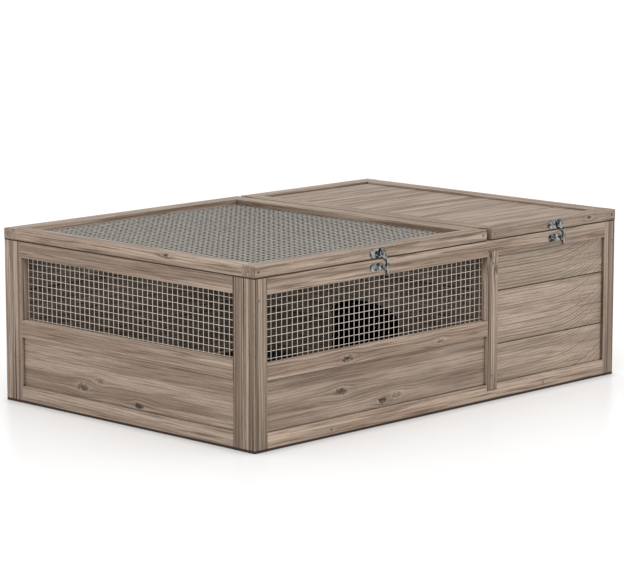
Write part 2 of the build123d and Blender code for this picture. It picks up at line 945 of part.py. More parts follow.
# Latches: a plate on the lid with a hook riveted to it, and a keeper with a stud below
keeper_z = box_height - keeper_drop
hook_face = latch_face.offset(hook_play)
hook_front = hook_face.offset(hook_thickness + hook_play)
plate_z = grown((lid_middle, lid_middle), latch_plate_height / 2)
keeper_plate_z = grown((keeper_z, keeper_z), keeper_height / 2)
for side, x in latch_x.items():
    pivot = (x + pivot_offset, lid_middle)
    with BuildPart() as latch_plate:
        with BuildSketch(front_face) as outline:
            oblong((x - latch_plate_left, pivot[0]), plate_z)
            fillet(outline.vertices().group_by(Axis.X)[0], latch_plate_corner)
            with Locations(pivot):
                Circle(latch_plate_height / 2)
                Circle(rivet_radius + rivet_play, mode=Mode.SUBTRACT)
        extrude(amount=latch_plate_thickness)
        pilot(latch_face, [(x, lid_middle)])
    finish(latch_plate.part, f"{side}_latch_plate")

    with BuildPart() as rivet:
        with BuildSketch(front_face):
            with Locations(pivot):
                Circle(rivet_radius)
        extrude(amount=latch_reach - rivet_head_thickness)
        with BuildSketch(hook_front):
            with Locations(pivot):
                Circle(rivet_head_radius)
        extrude(amount=rivet_head_thickness)
        fillet(rivet.faces().sort_by(Axis.Y)[0].edges(), rivet_head_thickness / 2)
    finish(rivet.part, f"{side}_latch_rivet")

    curl_middle = (pivot[0] + curl_right, pivot[1] - curl_below)
    curl = CenterArc(curl_middle, curl_radius, curl_start, -curl_turn)
    tail_top = (pivot[0] + tail_top_right, pivot[1] - tail_top_below)
    tail_tip = (pivot[0] + tail_tip_right, pivot[1] - tail_tip_below)
    with BuildSketch(hook_face) as neck:
        with Locations(pivot):
            Circle(eye_radius)
        with Locations(curl @ 0):
            Circle(hook_width / 2)
        make_hull()
    with BuildSketch(hook_face) as tail:
        with Locations(tail_top):
            Circle(hook_width / 2)
        with Locations(tail_tip):
            Circle(tail_tip_width / 2)
        make_hull()
    with BuildPart() as hook:
        with BuildSketch(hook_face):
            SlotArc(curl, hook_width)
            add(neck.sketch_local)
            add(tail.sketch_local)
            with Locations(pivot):
                Circle(rivet_radius + rivet_play, mode=Mode.SUBTRACT)
        extrude(amount=hook_thickness)
    finish(hook.part, f"{side}_hook")

    stud = (x + stud_offset, keeper_z)
    with BuildPart() as keeper:
        with BuildSketch(front_face) as outline:
            oblong((x - keeper_left, x + keeper_right), keeper_plate_z)
            fillet(outline.vertices(), keeper_corner)
        extrude(amount=latch_plate_thickness)
        with BuildSketch(latch_face):
            with Locations(stud):
                Circle(stud_radius)
        extrude(amount=hook_thickness + 2 * hook_play)
        with BuildSketch(hook_front):
            with Locations(stud):
                Circle(stud_head_radius)
        extrude(amount=rivet_head_thickness)
        fillet(keeper.faces().sort_by(Axis.Y)[0].edges(), rivet_head_thickness / 2)
        pilot(latch_face, [(x, keeper_z)])
    finish(keeper.part, f"{side}_latch_keeper")
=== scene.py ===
import math

import bmesh
import bpy
from mathutils import Euler, Matrix, Vector


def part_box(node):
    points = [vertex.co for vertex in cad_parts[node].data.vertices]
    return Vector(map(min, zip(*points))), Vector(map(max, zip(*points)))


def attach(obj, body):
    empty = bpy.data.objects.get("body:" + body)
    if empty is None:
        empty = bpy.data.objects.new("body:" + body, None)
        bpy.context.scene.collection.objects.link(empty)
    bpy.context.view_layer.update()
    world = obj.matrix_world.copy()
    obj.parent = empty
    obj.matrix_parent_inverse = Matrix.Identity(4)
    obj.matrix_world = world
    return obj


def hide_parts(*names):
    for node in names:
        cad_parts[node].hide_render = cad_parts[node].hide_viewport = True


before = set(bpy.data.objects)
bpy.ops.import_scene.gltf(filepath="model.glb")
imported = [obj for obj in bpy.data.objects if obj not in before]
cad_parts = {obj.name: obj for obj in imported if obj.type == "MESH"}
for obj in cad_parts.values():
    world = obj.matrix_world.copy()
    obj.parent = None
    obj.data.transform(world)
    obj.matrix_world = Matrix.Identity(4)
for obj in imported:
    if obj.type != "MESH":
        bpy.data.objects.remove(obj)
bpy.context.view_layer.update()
mm = 0.001
perMetre = 1000.0  # mm
mergeWithin = 0.001 * mm
print("frame loaded:", len(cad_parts), "CAD nodes")


# Small tools for colours, nodes and meshes

def linear(code):
    # an sRGB hex colour as the linear values that a colour socket takes
    parts = [int(code[spot:spot + 2], 16) / 255 for spot in (1, 3, 5)]
    return [part / 12.92 if part <= 0.04045 else ((part + 0.055) / 1.055) ** 2.4 for part in parts] + [1.0]


def add(tree, kind, *values, named=None, **settings):
    # one node; a value is a number, a socket or a node, and then its first live output is taken
    node = tree.nodes.new(kind)
    for setting, value in settings.items():
        setattr(node, setting, value)
    live = [socket for socket in node.inputs if socket.enabled]
    pairs = list(zip(live, values)) + [(node.inputs[name], value) for name, value in (named or {}).items()]
    for socket, value in pairs:
        if isinstance(value, bpy.types.Node):
            value = next(output for output in value.outputs if output.enabled)
        if isinstance(value, bpy.types.NodeSocket):
            tree.links.new(value, socket)
        elif value is not None:
            socket.default_value = value
    return node


calc = "ShaderNodeMath"
vector = "ShaderNodeVectorMath"
noise = "ShaderNodeTexNoise"
mix = "ShaderNodeMix"
remap = "ShaderNodeMapRange"
join = "ShaderNodeCombineXYZ"


def newMaterial(name):
    material = bpy.data.materials.new(name)
    material.use_nodes = True
    return material, material.node_tree, material.node_tree.nodes["Principled BSDF"]


def connect(tree, surface, colour, roughness, bump=None):
    # colour, roughness and relief go to the shader
    for socket, node in (("Base Color", colour), ("Roughness", roughness), ("Normal", bump)):
        if node is not None:
            tree.links.new(next(output for output in node.outputs if output.enabled), surface.inputs[socket])


def setMaterial(piece, material):
    piece.data.materials.clear()
    piece.data.materials.append(material)


def stand(name, data):
    # a new object in the scene, at the origin
    thing = bpy.data.objects.new(name, data)
    bpy.context.scene.collection.objects.link(thing)
    return thing


def addPiece(name, mesh, body, stoodFor=()):
    # a finished mesh in the row frame becomes a piece that rides on its body
    piece = stand(name, mesh)
    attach(piece, body)
    if stoodFor:
        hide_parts(*stoodFor)
    return piece


def toMesh(shape, name):
    # ends a bmesh as a mesh
    made = bpy.data.meshes.new(name)
    shape.to_mesh(made)
    shape.free()
    return made


def mergedCopy(node):
    # a CAD mesh is loose triangles, so a copy of it is merged before it is worked on
    shape = bmesh.new()
    shape.from_mesh(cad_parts[node].data)
    bmesh.ops.remove_doubles(shape, verts=shape.verts, dist=mergeWithin)
    return shape


def evaluatedMesh(host, name):
    # what the modifiers of a helper object make, as a plain mesh; the helper goes
    bpy.context.view_layer.update()
    mesh = bpy.data.meshes.new_from_object(host.evaluated_get(bpy.context.evaluated_depsgraph_get()))
    mesh.name = name
    bpy.data.objects.remove(host)
    return mesh


# Fir, planed and stained grey-brown: soft bands where the saw met the year rings,
# long fibre streaks, dark knots that the grain runs round, and paler arrises where hands rub

firLook = {
    "light": "#cab6a3",
    "pink": "#c8b2a0",
    "mid": "#a38d7b",
    "dark": "#654e3f",
    "knot": "#3a2c24",
    # colour of the painted shade in joints, seams, the lid gap and along the foot
    "paintedShade": "#31261f",
    "paintedNookShade": 5.0,  # mm from a joint over which the painted shade darkens the wood
    "worn": "#d0c2b2",
    "ringWidth": 5.6,  # mm between year rings
    "ringShade": 0.5,
    "ringLeast": 0.25,  # share of that shade in the faintest ring
    "ringRise": (0.3, 0.85),  # shares of a ring over which it darkens, and over which it ends
    "ringFall": (0.86, 1.0),
    "ringRelief": -0.6,
    "pithAcross": (70.0, 75.0),  # mm that a board's luck adds to the way to the pith, and the least way
    "pithDeep": (45.0, 10.0),
    "drift": 0.03,  # how far the rings run off sideways, per mm of length
    "sweep": None,  # where along the piece the rings begin to climb, and mm of climb in the next 100 mm
    "slow": (190.0, 70.0, 3.0),  # mm along and across the grain, and detail, of the noise that bends the rings
    "wander": 5.0,  # mm that it bends them
    "bandWidth": 15.0,  # mm across the broad streaks
    "bandLength": 520.0,
    "lineWidth": 3.0,  # mm across the dark lines where the plane met a hard ring
    "lineLength": 120.0,
    "lineShade": 0.72,
    "fibreWidth": 1.6,
    "fibreLength": 50.0,
    "streaks": (210.0, 6.0, 2.0),
    "pores": (9.0, 1.1, 2.0),
    "ragged": (7.0, 3.0, 3.0),  # frays the edges of knots and of worn arrises
    "wear": 0.5,
    "wornReach": (1.2, 3.2),  # mm from an arris over which the wear ends
    "wornFray": 2.4,
    "rough": 0.62,
    "roughSpread": 0.16,
    "relief": 0.0004,  # m
    "specular": 0.3,
    "tone": 1.0,
    "toneSpread": (0.94, 1.05),  # from the darkest board of a panel to the palest
    "inside": None,  # letter and sign of the face that looks into the rooms
    "insideEdge": (0.3, 0.7),
    "insideShade": 0.38,
    "boardFace": 2000.0,  # one board, unless a panel says how wide its boards are
    "firstSeam": None,
    "boardsApart": 3000.0,  # mm from the grain of one board to that of the next in the noise
    "seedShift": 0.37,  # keeps the number of a board off whole ones
    "knots": (),
    "seed": 0,
}
knotLook = {
    "stretch": 2.3,  # how much longer than wide a knot is
    "pull": -0.16,  # how fast the bend of the grain dies away
    "push": -0.85,  # how far the grain is set aside
    "fray": 5.0,
    "core": (2.5, 3.9),  # squared distance in radii over which the dark core ends
    "rim": (2.4, 4.2, 9.0),  # where the pale rim begins, is full and ends
    "rimShade": 0.75,
    "rimBreaks": (0.4, 0.65, 0.0, 0.6),  # range of the fray over which the rim shows, and how much of it
    "halo": 0.3,  # stain that a knot sheds round it
    "ringHalo": 0.8,  # how much stronger the year rings are beside it
}
grainShades = {
    # range of each noise, and what it becomes there
    "bands": (0.38, 0.62, 0.0, 0.9),
    "lines": (0.5, 0.66, 0.0),
    "fibres": (0.25, 0.75, 0.78, 1.16),
    "streaks": (0.25, 0.75, 1.12, 0.88),
    "pores": (0.55, 0.75, 1.0, 0.72),
    "ends": (0.6, 0.95, 0.0, 0.25),  # how squarely a face looks along the grain
}
# painted shade lines, each from its own measure of how near a joint, end, seam, lid gap or the foot is
paintedShadeLines = {
    # where the painted shade begins and is full, its least and its most: in mm, but the joint is the open share
    # of the sky
    "joint": (0.85, 0.35, 0.0, 0.9),
    "end": (-1.9, -0.5, 0.0, 0.85),
    "seam": (1.6, 0.6, 0.0, 0.9),
    "lid": (1.9, 0.9, 0.0, 0.9),
    "foot": (5.6, 4.0, 0.0, 0.98),
}
lidLevel = 297.2  # mm, where the lids meet the walls
flatFrom = 0.95  # how squarely a face looks up or down when the lid's line leaves it out
beyond = 9.0  # mm, past the reach of every line


def planedFir(name, node, axes, **changes):
    look = {**firLook, **changes}
    material, tree, surface = newMaterial(name)
    low, high = (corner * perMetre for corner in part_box(node))
    letters = [axis.lower() for axis in axes]
    lows = [getattr(low, letter) for letter in letters]
    highs = [getattr(high, letter) for letter in letters]
    middles = [(a + b) / 2 for a, b in zip(lows, highs)]
    coordinate = add(tree, "ShaderNodeTexCoord")
    place = add(tree, vector, coordinate.outputs["Object"], named={"Scale": perMetre}, operation="SCALE")
    split = add(tree, "ShaderNodeSeparateXYZ", place)
    along, across, deep = (split.outputs[axis] for axis in axes)

    # which board of a panel this is, and its own luck
    firstSeam = middles[1] - look["boardFace"] / 2 if look["firstSeam"] is None else look["firstSeam"]
    steps = add(tree, calc, add(tree, calc, across, -firstSeam, operation="ADD"), look["boardFace"],
                operation="DIVIDE")
    board = add(tree, calc, steps, operation="FLOOR")
    boardNumber = add(tree, calc, board, look["seed"] + look["seedShift"])
    luck = add(tree, "ShaderNodeTexWhiteNoise", named={"W": boardNumber}, noise_dimensions="1D")
    luckSplit = add(tree, "ShaderNodeSeparateXYZ", luck.outputs["Color"])
    away = add(tree, vector, luck.outputs["Color"], named={"Scale": look["boardsApart"]}, operation="SCALE")
    boardMiddle = add(tree, calc, add(tree, calc, board, 0.5), look["boardFace"], firstSeam,
                      operation="MULTIPLY_ADD")

    def grainNoise(length, width, detail, source):
        # noise drawn out along the grain, at its own place for every board
        point = add(tree, join, along, source, deep)
        moved = add(tree, vector, point, away, operation="ADD")
        scaled = add(tree, vector, moved, (1 / length, 1 / width, 1 / width), operation="MULTIPLY")
        return add(tree, noise, scaled, named={"Scale": 1.0, "Detail": detail, "Roughness": 0.55})

    # the grain parts round each knot
    bent = across
    knots, halos, paleRims = 0.0, 0.0, 0.0
    ragged = grainNoise(*look["ragged"], across)
    rimStart, rimTop, rimEnd = knotLook["rim"]
    for knotAlong, knotAcross, radius, depth, *knotDeep in look["knots"]:
        spanAlong = add(tree, calc, add(tree, calc, along, -knotAlong), 1 / (knotLook["stretch"] * radius),
                        operation="MULTIPLY")
        spanAcross = add(tree, calc, add(tree, calc, across, -knotAcross), 1 / radius, operation="MULTIPLY")
        far = add(tree, calc, spanAlong, spanAlong, operation="MULTIPLY")
        far = add(tree, calc, spanAcross, spanAcross, far, operation="MULTIPLY_ADD")
        for knotLevel in knotDeep:
            spanDeep = add(tree, calc, add(tree, calc, deep, -knotLevel), 1 / radius, operation="MULTIPLY")
            far = add(tree, calc, spanDeep, spanDeep, far, operation="MULTIPLY_ADD")
        pull = add(tree, calc, far, knotLook["pull"], operation="MULTIPLY")
        pull = add(tree, calc, pull, operation="EXPONENT")
        aside = add(tree, calc, spanAcross, radius, operation="MULTIPLY")
        aside = add(tree, calc, aside, pull, operation="MULTIPLY")
        bent = add(tree, calc, aside, knotLook["push"], bent, operation="MULTIPLY_ADD")
        edge = add(tree, calc, ragged, knotLook["fray"], far, operation="MULTIPLY_ADD")
        core = add(tree, remap, edge, *knotLook["core"], depth, 0.0, interpolation_type="SMOOTHSTEP")
        knots = add(tree, calc, core, knots, operation="MAXIMUM")
        halo = add(tree, calc, pull, depth, operation="MULTIPLY")
        halos = add(tree, calc, halo, halos, operation="MAXIMUM")
        rim = add(tree, remap, edge, rimStart, rimTop, interpolation_type="SMOOTHSTEP")
        rimFall = add(tree, remap, edge, rimTop, rimEnd, knotLook["rimShade"], 0.0)
        rim = add(tree, calc, rim, rimFall, operation="MULTIPLY")
        paleRims = add(tree, calc, rim, paleRims, operation="MAXIMUM")

    # year rings round a pith to one side, so that they meet the faces as lines that drift along the piece
    slow = grainNoise(*look["slow"], across)
    sideways = add(tree, calc, add(tree, calc, slow, -0.5), look["wander"], bent, operation="MULTIPLY_ADD")
    sideways = add(tree, calc, sideways, boardMiddle, operation="SUBTRACT")
    tilt = add(tree, calc, luckSplit.outputs["Z"], 2 * look["drift"], -look["drift"],
               operation="MULTIPLY_ADD")
    fromMiddle = add(tree, calc, along, -middles[0])
    sideways = add(tree, calc, fromMiddle, tilt, sideways, operation="MULTIPLY_ADD")
    if look["sweep"]:
        start, climb = look["sweep"]
        past = add(tree, calc, add(tree, calc, along, -start), 0.0, operation="MAXIMUM")
        past = add(tree, calc, past, past, operation="MULTIPLY")
        sideways = add(tree, calc, past, -climb / 100 ** 2, sideways, operation="MULTIPLY_ADD")
    pithAcross = add(tree, calc, luckSplit.outputs["X"], *look["pithAcross"], operation="MULTIPLY_ADD")
    pithDeep = add(tree, calc, luckSplit.outputs["Y"], *look["pithDeep"], operation="MULTIPLY_ADD")
    below = add(tree, calc, add(tree, calc, deep, -middles[2]), pithDeep)
    ringPoint = add(tree, join, add(tree, calc, sideways, pithAcross), below, 0.0)
    fromPith = add(tree, vector, ringPoint, operation="LENGTH")
    rings = add(tree, calc, fromPith.outputs["Value"], look["ringWidth"], operation="DIVIDE")
    ring = add(tree, calc, rings, operation="FRACT")
    ringLuck = add(tree, "ShaderNodeTexWhiteNoise", named={"W": add(tree, calc, rings, operation="FLOOR")},
                   noise_dimensions="1D")
    rise = add(tree, remap, ring, *look["ringRise"], interpolation_type="SMOOTHSTEP")
    fall = add(tree, remap, ring, *look["ringFall"], 1.0, 0.0, interpolation_type="SMOOTHSTEP")
    late = add(tree, calc, rise, fall, operation="MULTIPLY")
    ringShade = add(tree, calc, ringLuck, look["ringShade"], look["ringShade"] * look["ringLeast"],
                    operation="MULTIPLY_ADD")
    if look["knots"]:
        ringShade = add(tree, calc, halos, knotLook["ringHalo"], ringShade, operation="MULTIPLY_ADD")
    late = add(tree, calc, late, ringShade, operation="MULTIPLY", use_clamp=True)

    # colour from broad bands to single fibres
    bands = grainNoise(look["bandLength"], look["bandWidth"], 2.0, bent)
    bandMask = add(tree, remap, bands, *grainShades["bands"], interpolation_type="SMOOTHSTEP")
    lines = grainNoise(look["lineLength"], look["lineWidth"], 2.0, bent)
    lineMask = add(tree, remap, lines, *grainShades["lines"], look["lineShade"],
                   interpolation_type="SMOOTHSTEP")
    fibres = grainNoise(look["fibreLength"], look["fibreWidth"], 3.0, bent)
    streaks = grainNoise(*look["streaks"], bent)
    pores = grainNoise(*look["pores"], bent)
    pale = add(tree, mix, luck.outputs["Value"], linear(look["light"]), linear(look["pink"]),
               data_type="RGBA")
    colour = add(tree, mix, bandMask, pale, linear(look["mid"]), data_type="RGBA")
    darkMask = add(tree, calc, late, lineMask, operation="MAXIMUM")
    colour = add(tree, mix, darkMask, colour, linear(look["dark"]), data_type="RGBA")
    shade = add(tree, remap, fibres, *grainShades["fibres"])
    for source, kind in ((streaks, "streaks"), (pores, "pores")):
        shade = add(tree, calc, shade, add(tree, remap, source, *grainShades[kind]), operation="MULTIPLY")
    tones = [share * look["tone"] for share in look["toneSpread"]]
    tone = add(tree, remap, luckSplit.outputs["X"], 0.0, 1.0, *tones)
    shade = add(tree, calc, shade, tone, operation="MULTIPLY")
    colour = add(tree, vector, colour, named={"Scale": shade}, operation="SCALE")
    if look["knots"]:
        haloMask = add(tree, calc, halos, knotLook["halo"], operation="MULTIPLY")
        colour = add(tree, mix, haloMask, colour, linear(look["dark"]), data_type="RGBA")
        breaks = add(tree, remap, ragged, *knotLook["rimBreaks"])
        paleMask = add(tree, calc, paleRims, breaks, operation="MULTIPLY")
        colour = add(tree, mix, paleMask, colour, linear(look["worn"]), data_type="RGBA")
        colour = add(tree, mix, knots, colour, linear(look["knot"]), data_type="RGBA")

    # ends are darker, because end grain drinks the stain
    facing = add(tree, "ShaderNodeSeparateXYZ", coordinate.outputs["Normal"])
    ends = add(tree, calc, facing.outputs[axes[0]], operation="ABSOLUTE")
    soaked = add(tree, remap, ends, *grainShades["ends"])
    colour = add(tree, mix, soaked, colour, linear(look["dark"]), data_type="RGBA")

    if look["wear"]:
        toEdge = []
        for way, source in ((1, across), (2, deep)):
            off = add(tree, calc, add(tree, calc, source, -middles[way]), operation="ABSOLUTE")
            toEdge.append(add(tree, calc, (highs[way] - lows[way]) / 2, off, operation="SUBTRACT"))
        arris = add(tree, calc, *toEdge, operation="MAXIMUM")
        rubbed = add(tree, calc, ragged, look["wornFray"], arris, operation="MULTIPLY_ADD")
        worn = add(tree, remap, rubbed, *look["wornReach"], look["wear"], 0.0,
                   interpolation_type="SMOOTHSTEP")
        colour = add(tree, mix, worn, colour, linear(look["worn"]), data_type="RGBA")

    # painted shade: dark lines where shade falls, in joints and seams, at the ends of pieces, in the gap under
    # the lids and along the foot
    paintedNookShade = add(tree, "ShaderNodeAmbientOcclusion", samples=6, named={"Distance": look["paintedNookShade"] * mm})
    level = add(tree, "ShaderNodeSeparateXYZ", place).outputs["Z"]
    fromEnd = add(tree, calc, fromMiddle, operation="ABSOLUTE")
    fromEnd = add(tree, calc, fromEnd, -(highs[0] - lows[0]) / 2)
    fromEnd = add(tree, calc, ends, -beyond, fromEnd, operation="MULTIPLY_ADD")
    fromSeam = add(tree, calc, across, -firstSeam)
    fromSeam = add(tree, calc, fromSeam, look["boardFace"] / 2, operation="PINGPONG")
    fromLid = add(tree, calc, add(tree, calc, level, -lidLevel), operation="ABSOLUTE")
    upDown = add(tree, calc, facing.outputs["Z"], operation="ABSOLUTE")
    flat = add(tree, calc, upDown, flatFrom, operation="GREATER_THAN")
    fromLid = add(tree, calc, flat, beyond, fromLid, operation="MULTIPLY_ADD")
    sources = {"joint": paintedNookShade.outputs["AO"], "end": fromEnd, "seam": fromSeam, "lid": fromLid, "foot": level}
    paintedShade = 0.0
    for line, source in sources.items():
        mask = add(tree, remap, source, *paintedShadeLines[line], interpolation_type="SMOOTHSTEP")
        paintedShade = add(tree, calc, mask, paintedShade, operation="MAXIMUM")
    colour = add(tree, mix, paintedShade, colour, linear(look["paintedShade"]), data_type="RGBA")
    # painted shade: the faces that look into the rooms are darkened for the shade inside the box
    if look["inside"]:
        letter, sign = look["inside"]
        inward = facing.outputs[letter]
        if sign:
            inward = add(tree, calc, inward, sign, operation="MULTIPLY")
        else:
            inward = add(tree, calc, inward, operation="ABSOLUTE")
        dim = add(tree, remap, inward, *look["insideEdge"], 1.0, look["insideShade"])
        colour = add(tree, vector, colour, named={"Scale": dim}, operation="SCALE")

    height = add(tree, calc, late, look["ringRelief"], fibres, operation="MULTIPLY_ADD")
    bump = add(tree, "ShaderNodeBump", named={"Strength": 0.5, "Distance": look["relief"], "Height": height})
    roughness = add(tree, calc, fibres, look["roughSpread"], look["rough"] - look["roughSpread"] / 2,
                    operation="MULTIPLY_ADD")
    connect(tree, surface, colour, roughness, bump)
    surface.inputs["Specular IOR Level"].default_value = look["specular"]
    return material


# Every timber: the axes that run along, across and into it, and what the photograph shows on it.
# A knot is its place along and across, its radius, its depth of colour and, on some, its level, in mm

frontWise = ("X", "Z", "Y")
endWise = ("Y", "Z", "X")
flatWise = ("X", "Y", "Z")
flatEndWise = ("Y", "X", "Z")
postWise = ("Z", "X", "Y")
endPostWise = ("Z", "Y", "X")
wallSeams = {"boardFace": 98.1, "firstSeam": 4.3, "wear": 0.0}
broadGrain = {"bandWidth": 24.0, "lineWidth": 2.4, "lineShade": 0.55, "ringShade": 0.36, "wear": 0.0}
postGrain = {"lineWidth": 4.2, "lineLength": 600.0, "lineShade": 1.0, "bandWidth": 9.0, "drift": 0.004,
             "ringWidth": 7.0, "wander": 6.0, "light": "#d3bea9", "mid": "#937d6b", "dark": "#463327"}
timbers = {
    "front_left_post": (postWise, {"seed": 3, "tone": 0.85, **postGrain}),
    "front_middle_post": (postWise, {"seed": 5, **postGrain, "knots": (
        (268.0, 121.0, 4.0, 0.7), (244.0, 136.5, 5.0, 0.7))}),
    "front_right_post": (postWise, {"seed": 8, "tone": 0.83, **postGrain}),
    "front_top_rail": (frontWise, {"seed": 12}),
    "front_mid_rail": (frontWise, {"seed": 14, "knots": (
        (-255.0, 132.0, 5.0, 0.85), (-15.0, 131.0, 4.0, 0.4))}),
    "front_bottom_rail": (frontWise, {"seed": 17, "tone": 1.15}),
    "front_lower_board": (frontWise, {"seed": 21, "tone": 0.87, **broadGrain, "knots": (
        (-265.0, 75.0, 6.0, 0.6), (-160.0, 43.0, 5.0, 0.95), (-122.0, 48.0, 5.0, 0.35))}),
    "front_hide_boards": (frontWise, {"seed": 25, "sweep": (300.0, 20.0), "ringShade": 0.62,
                                       "lineShade": 0.5, "bandWidth": 34.0, "light": "#ccbcaa",
                                       "mid": "#b09f8d", **wallSeams}),
    "left_front_post": (endPostWise, {"seed": 31, "tone": 0.83, **postGrain}),
    "left_back_post": (endPostWise, {"seed": 33, "tone": 0.9, **postGrain}),
    "left_top_rail": (endWise, {"seed": 35, "tone": 0.92}),
    "left_mid_rail": (endWise, {"seed": 38}),
    "left_bottom_rail": (endWise, {"seed": 41}),
    "left_lower_board": (endWise, {"seed": 44, "tone": 0.96, **broadGrain, "knots": (
        (-28.0, 38.0, 5.0, 0.95), (118.0, 51.0, 6.0, 0.6), (73.0, 68.0, 5.0, 0.3))}),
    "right_front_post": (endPostWise, {"seed": 51}),
    "right_back_post": (endPostWise, {"seed": 53}),
    "right_top_rail": (endWise, {"seed": 55}),
    "right_bottom_rail": (endWise, {"seed": 58}),
    "right_end_boards": (endWise, {"seed": 61, **wallSeams}),
    "back_left_post": (postWise, {"seed": 71}),
    "back_middle_post": (postWise, {"seed": 73}),
    "back_right_post": (postWise, {"seed": 75}),
    "back_top_rail": (frontWise, {"seed": 77}),
    "back_bottom_rail": (frontWise, {"seed": 79}),
    "back_run_boards": (frontWise, {"seed": 81, **wallSeams}),
    "back_hide_boards": (frontWise, {"seed": 87, **wallSeams}),
    "divider_battens": (postWise, {"seed": 91}),
    "divider_boards": (endWise, {"seed": 93, **wallSeams}),
    "floor_cleats": (flatWise, {"seed": 99, "wear": 0.0}),
    "left_lid_front_rail": (flatWise, {"seed": 101, "tone": 1.05}),
    "left_lid_back_rail": (flatWise, {"seed": 103}),
    "left_lid_left_rail": (endWise, {"seed": 105, "knots": ((-107.0, 314.0, 3.6, 0.9, -479.0),)}),
    "left_lid_right_rail": (flatEndWise, {"seed": 107}),
    "right_lid_front_rail": (frontWise, {"seed": 111, "tone": 0.74, "knots": (
        (402.0, 309.0, 3.4, 0.9, -321.0), (283.0, 305.0, 3.0, 0.6, -321.0))}),
    "right_lid_back_rail": (flatWise, {"seed": 113}),
    "right_lid_left_rail": (flatEndWise, {"seed": 115}),
    "right_lid_right_rail": (flatEndWise, {"seed": 117}),
    "right_lid_boards": (flatWise, {"seed": 121, "boardFace": 98.1, "firstSeam": -296.55, "wear": 0.0}),
}
# the face of each wall that looks into a room and is darkened as painted shade, or 0 for both faces
# the lids are named here so that they aren't taken for walls
insideOf = {"front": ("Y", 1.0), "back": ("Y", -1.0), "left": ("X", 1.0), "right": ("X", -1.0),
            "divider": ("X", 0.0), "left_lid": None, "right_lid": None}
for node, (axes, changes) in timbers.items():
    wall = max((name for name in insideOf if node.startswith(name)), key=len, default=None)
    changes["inside"] = insideOf.get(wall)
    fir = planedFir("planed fir " + node.replace("_", " "), node, axes, **changes)
    setMaterial(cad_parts[node], fir)
print("timber finished:", len(timbers), "pieces")


# Metals, plastic and plywood

wireLook = {
    "blotches": 160.0,  # per metre, about 6 mm each
    "rough": (0.3, 0.7, 0.5, 0.36),
    "metallic": 0.25,
}
plateLook = {
    "paintedReflection": 150.0,  # per metre, about 7 mm each
    "reflectionEdge": (0.36, 0.64),
    "scuffs": (900.0, 900.0, 2600.0),  # per metre, finer upwards, so that the marks lie level
    "scuffRough": 0.14,
    "scuffRelief": 0.00005,  # m
    "paintedHollowShade": "#191817",
    "hollowShadeReach": 0.004,  # m from a joint
    "hollowShadeEdge": (0.3, 0.9, 0.9, 0.0),
}
trayLook = {
    "clean": "#121213",
    "dusty": "#2a2927",
    "grain": 1400.0,  # per metre, about 0.7 mm each
    "grainRelief": 0.0001,  # m
    "dust": 14.0,  # per metre, about 70 mm each
    "dustEdge": (0.5, 0.8, 0.0, 0.5),
    "rough": (0.3, 0.7, 0.42, 0.6),
}
finishes = {
    # name of the material, its darker and its paler colour, and a plated part's least roughness
    # one wire in two copies: a paler one for the walls, painted light, and a darker one for the lid, painted
    # shade
    "wire": ("galvanised drawn wire", "#eadfd2", "#fbf2e6"),
    "shadedLidWire": ("galvanised drawn wire, weathered on the lid", "#c6c2bb", "#eae6de"),
    "zinc": ("bright zinc plated steel", "#232527", "#9fa1a1", 0.1),
    "screwZinc": ("dull zinc plated screw", "#7b7671", "#a29d96", 0.36),
}
# the knife peels plywood round the log, so that its figure is wide and wanders
plywoodLook = {"seed": 131, "light": "#c2a683", "pink": "#bb9a74", "mid": "#ab8a63", "dark": "#7f6345",
               "ringWidth": 11.0, "wander": 60.0, "bandWidth": 60.0, "wear": 0.0}


def galvanisedWire(name, dull, clean):
    # drawn steel wire dipped in zinc: pale and slightly blotched; the walls get a paler copy with painted light
    # and the lid a darker copy with painted shade
    material, tree, surface = newMaterial(name)
    place = add(tree, "ShaderNodeTexCoord").outputs["Object"]
    blotches = add(tree, noise, place, named={"Scale": wireLook["blotches"], "Detail": 3.0})
    colour = add(tree, mix, blotches, linear(dull), linear(clean), data_type="RGBA")
    connect(tree, surface, colour, add(tree, remap, blotches, *wireLook["rough"]))
    surface.inputs["Metallic"].default_value = wireLook["metallic"]
    return material


def zincPlate(name, dark, bright, smoothest):
    # mild steel stamped, tumbled and zinc plated, finely scuffed: its dark and bright mottle is a painted
    # reflection of surroundings, and its darkening near joints is painted shade
    material, tree, surface = newMaterial(name)
    place = add(tree, "ShaderNodeTexCoord").outputs["Object"]
    # painted reflection: blotches of dark and bright that stand for surroundings mirrored in the plating
    paintedReflection = add(tree, noise, place, named={"Scale": plateLook["paintedReflection"], "Detail": 3.0})
    paintedReflection = add(tree, remap, paintedReflection, *plateLook["reflectionEdge"], interpolation_type="SMOOTHSTEP")
    scuffs = add(tree, noise, add(tree, vector, place, plateLook["scuffs"], operation="MULTIPLY"),
                 named={"Scale": 1.0, "Detail": 2.0})
    colour = add(tree, mix, paintedReflection, linear(dark), linear(bright), data_type="RGBA")
    roughness = add(tree, remap, scuffs, 0.3, 0.7, smoothest, smoothest + plateLook["scuffRough"])
    bump = add(tree, "ShaderNodeBump",
               named={"Strength": 0.25, "Distance": plateLook["scuffRelief"], "Height": scuffs})
    # painted shade: the plate darkens near joints and in recesses
    paintedNookShade = add(tree, "ShaderNodeAmbientOcclusion", samples=6, named={"Distance": plateLook["hollowShadeReach"]})
    paintedHollowShade = add(tree, remap, paintedNookShade.outputs["AO"], *plateLook["hollowShadeEdge"])
    colour = add(tree, mix, paintedHollowShade, colour.outputs[2], linear(plateLook["paintedHollowShade"]), data_type="RGBA")
    connect(tree, surface, colour, roughness, bump)
    surface.inputs["Metallic"].default_value = 1.0
    return material


